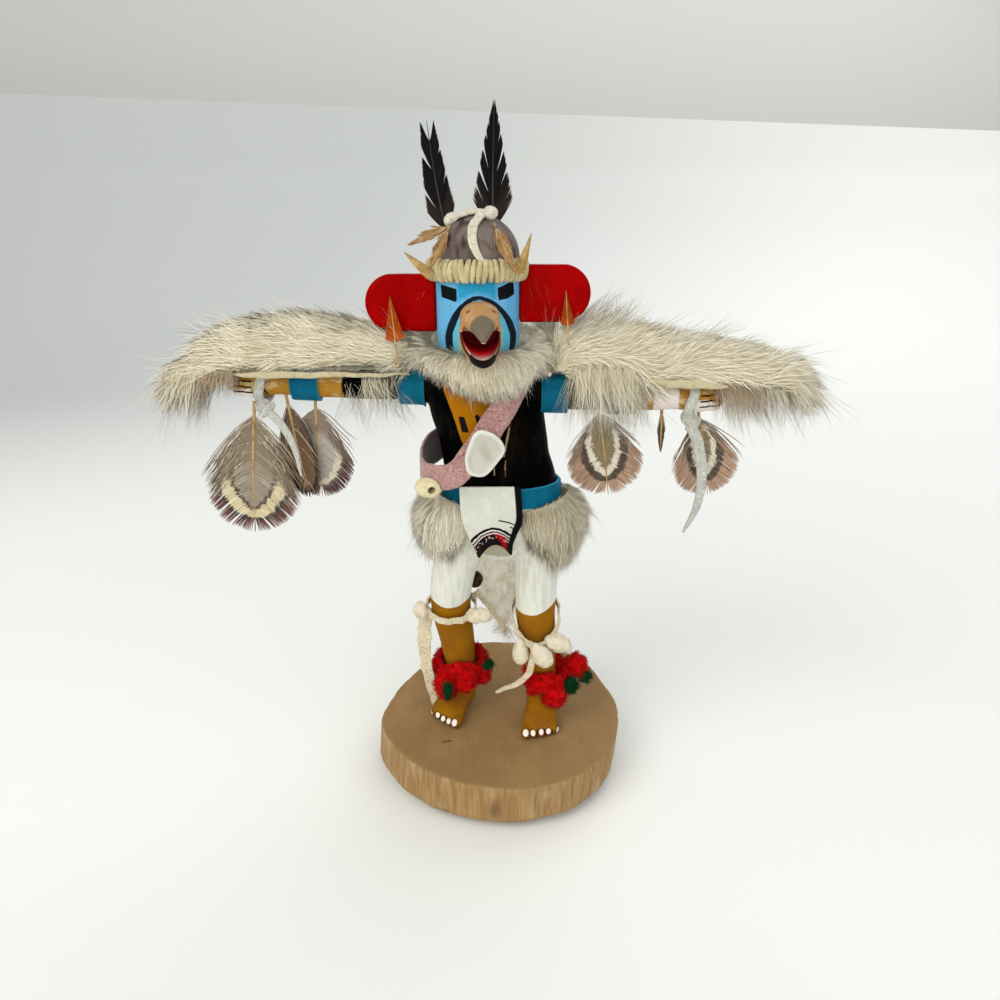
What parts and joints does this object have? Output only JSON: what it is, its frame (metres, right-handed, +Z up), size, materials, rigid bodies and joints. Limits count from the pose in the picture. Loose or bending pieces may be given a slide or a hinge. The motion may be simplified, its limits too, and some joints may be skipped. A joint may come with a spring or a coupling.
{
  "type": "kachina doll",
  "caption": "Carved and painted wooden dancer in an open-beaked bird mask with red ears, fur wings, hanging feathers and leather trimmings, standing on a slice of branch.",
  "frame": {"origin": "centre of the base's flat underside", "axes": "+Z up, the dancer faces -Y, and +X is to the right as seen from the front"},
  "size_m": [0.2101, 0.0912, 0.2201],
  "materials": {
    "branch_wood": "sanded bare wood, matt",
    "body_paint": "carved wood under satin paint: black, ochre, white and blue",
    "ear_paint": "carved wood under glossy red paint",
    "beak_paint": "carved wood under satin paint: tan, grey and red",
    "yarn": "thick cream wool yarn",
    "suede_lace": "cream suede",
    "fur": "long soft pelt",
    "blue_leather": "painted leather, satin",
    "white_leather": "painted stiff leather, satin",
    "pink_suede": "pink suede, matt",
    "black_feather": "feather",
    "brown_feather": "barred feather",
    "amber_feather": "stiff feather tip",
    "shell": "smooth white shell",
    "bead_wood": "polished cream bead",
    "bell_brown": "dark brown ball, satin",
    "red_wool": "wool",
    "green_felt": "felt"
  },
  "bodies": {
    "root": {"base": "branch_wood", "carved_figure": "body_paint", "ear_left": "ear_paint", "ear_right": "ear_paint", "beak": "beak_paint", "headband": "yarn", "crown_lace": "suede_lace", "crest_feather_left": "black_feather", "crest_feather_right": "black_feather", "brow_plume_outer": "brown_feather", "brow_plume_left": "brown_feather", "brow_plume_right": "brown_feather", "temple_plume_left": "amber_feather", "temple_plume_right": "amber_feather", "ear_plume_left": "amber_feather", "ear_plume_right": "amber_feather", "fur_wing_left": "fur", "fur_wing_right": "fur", "fur_collar": "fur", "armband_left": "blue_leather", "armband_right": "blue_leather", "wristband_left": "blue_leather", "wristband_right": "blue_leather", "wrist_lace_left": "suede_lace", "wrist_lace_right": "suede_lace", "wing_feather_left_outer": "brown_feather", "wing_feather_left_middle": "brown_feather", "wing_feather_left_inner": "brown_feather", "wing_feather_right_inner": "brown_feather", "wing_feather_right_middle": "brown_feather", "wing_feather_right_outer": "brown_feather", "bandolier": "pink_suede", "shell_disc": "shell", "bandolier_bead": "bead_wood", "belt": "blue_leather", "breechcloth": "white_leather", "hip_fur_left": "fur", "hip_fur_right": "fur", "tail_fur": "fur", "garter_left": "suede_lace", "garter_right": "suede_lace", "garter_shell_left_outer": "shell", "garter_shell_left_inner": "shell", "garter_shell_right_inner": "shell", "garter_shell_right_middle": "shell", "garter_shell_right_outer": "shell", "knee_bell": "bell_brown", "ankle_tuft_left": "red_wool", "ankle_tuft_right": "red_wool", "felt_leaf_left_front": "green_felt", "felt_leaf_left_side": "green_felt", "felt_leaf_right_front": "green_felt", "felt_leaf_right_side": "green_felt"}
  },
  "joints": []
}
